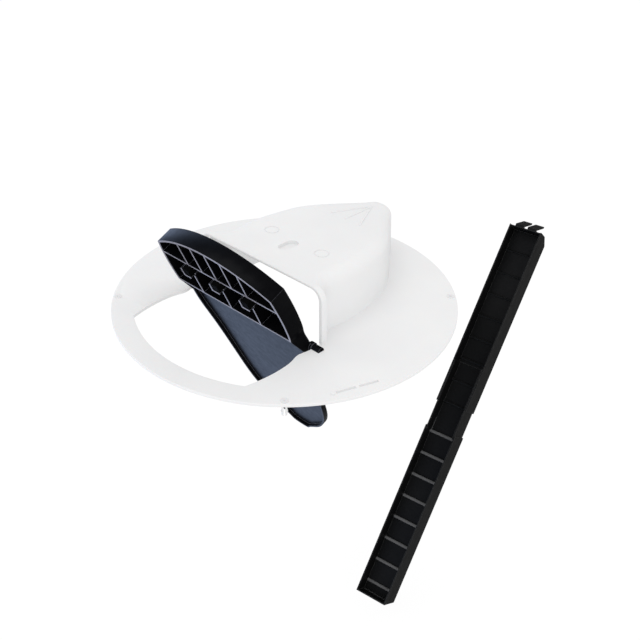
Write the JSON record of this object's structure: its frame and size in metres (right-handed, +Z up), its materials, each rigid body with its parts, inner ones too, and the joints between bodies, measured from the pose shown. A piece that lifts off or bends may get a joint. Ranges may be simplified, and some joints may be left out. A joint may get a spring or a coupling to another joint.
{
  "type": "bucket lid with tipping door and ladder",
  "caption": "Round bucket lid with a see-saw trap door tipping under a covered tunnel, and a separate two-section clip-on ladder.",
  "frame": {"origin": "centre of the round lid, on the top face of its plate", "axes": "+Z up, +Y from the open entry hole towards the closed tip of the tunnel, +X to its right along the door's pivot"},
  "size_m": [0.316, 0.4417, 0.4237],
  "materials": {
    "lid_plastic": "satin moulded white",
    "clip_plastic": "satin moulded white",
    "door_plastic": "satin moulded black",
    "weight_steel": "black coated",
    "ladder_plastic": "matt moulded black"
  },
  "bodies": {
    "lid": {"lid": "lid_plastic", "rim_clips": "clip_plastic"},
    "door": {"door": "door_plastic", "balance_weight_left": "weight_steel", "balance_weight_middle": "weight_steel", "balance_weight_right": "weight_steel"},
    "ladder_upper": {"ladder_upper": "ladder_plastic"},
    "ladder_lower": {"ladder_lower": "ladder_plastic"}
  },
  "joints": [
    {"name": "door_swing", "type": "hinge", "parent": "lid", "child": "door", "pos_m": [0, -0.0395, 0], "axis": [1, 0, 0], "range_deg": [-15, 66]},
    {"name": "ladder_lift", "type": "slide", "parent": "lid", "child": "ladder_upper", "axis": [0, 0, 1], "range_m": [0, 0.12]},
    {"name": "ladder_extend", "type": "slide", "parent": "ladder_upper", "child": "ladder_lower", "axis": [0.0899, -0.6201, -0.7793], "range_m": [0, 0.025]}
  ]
}
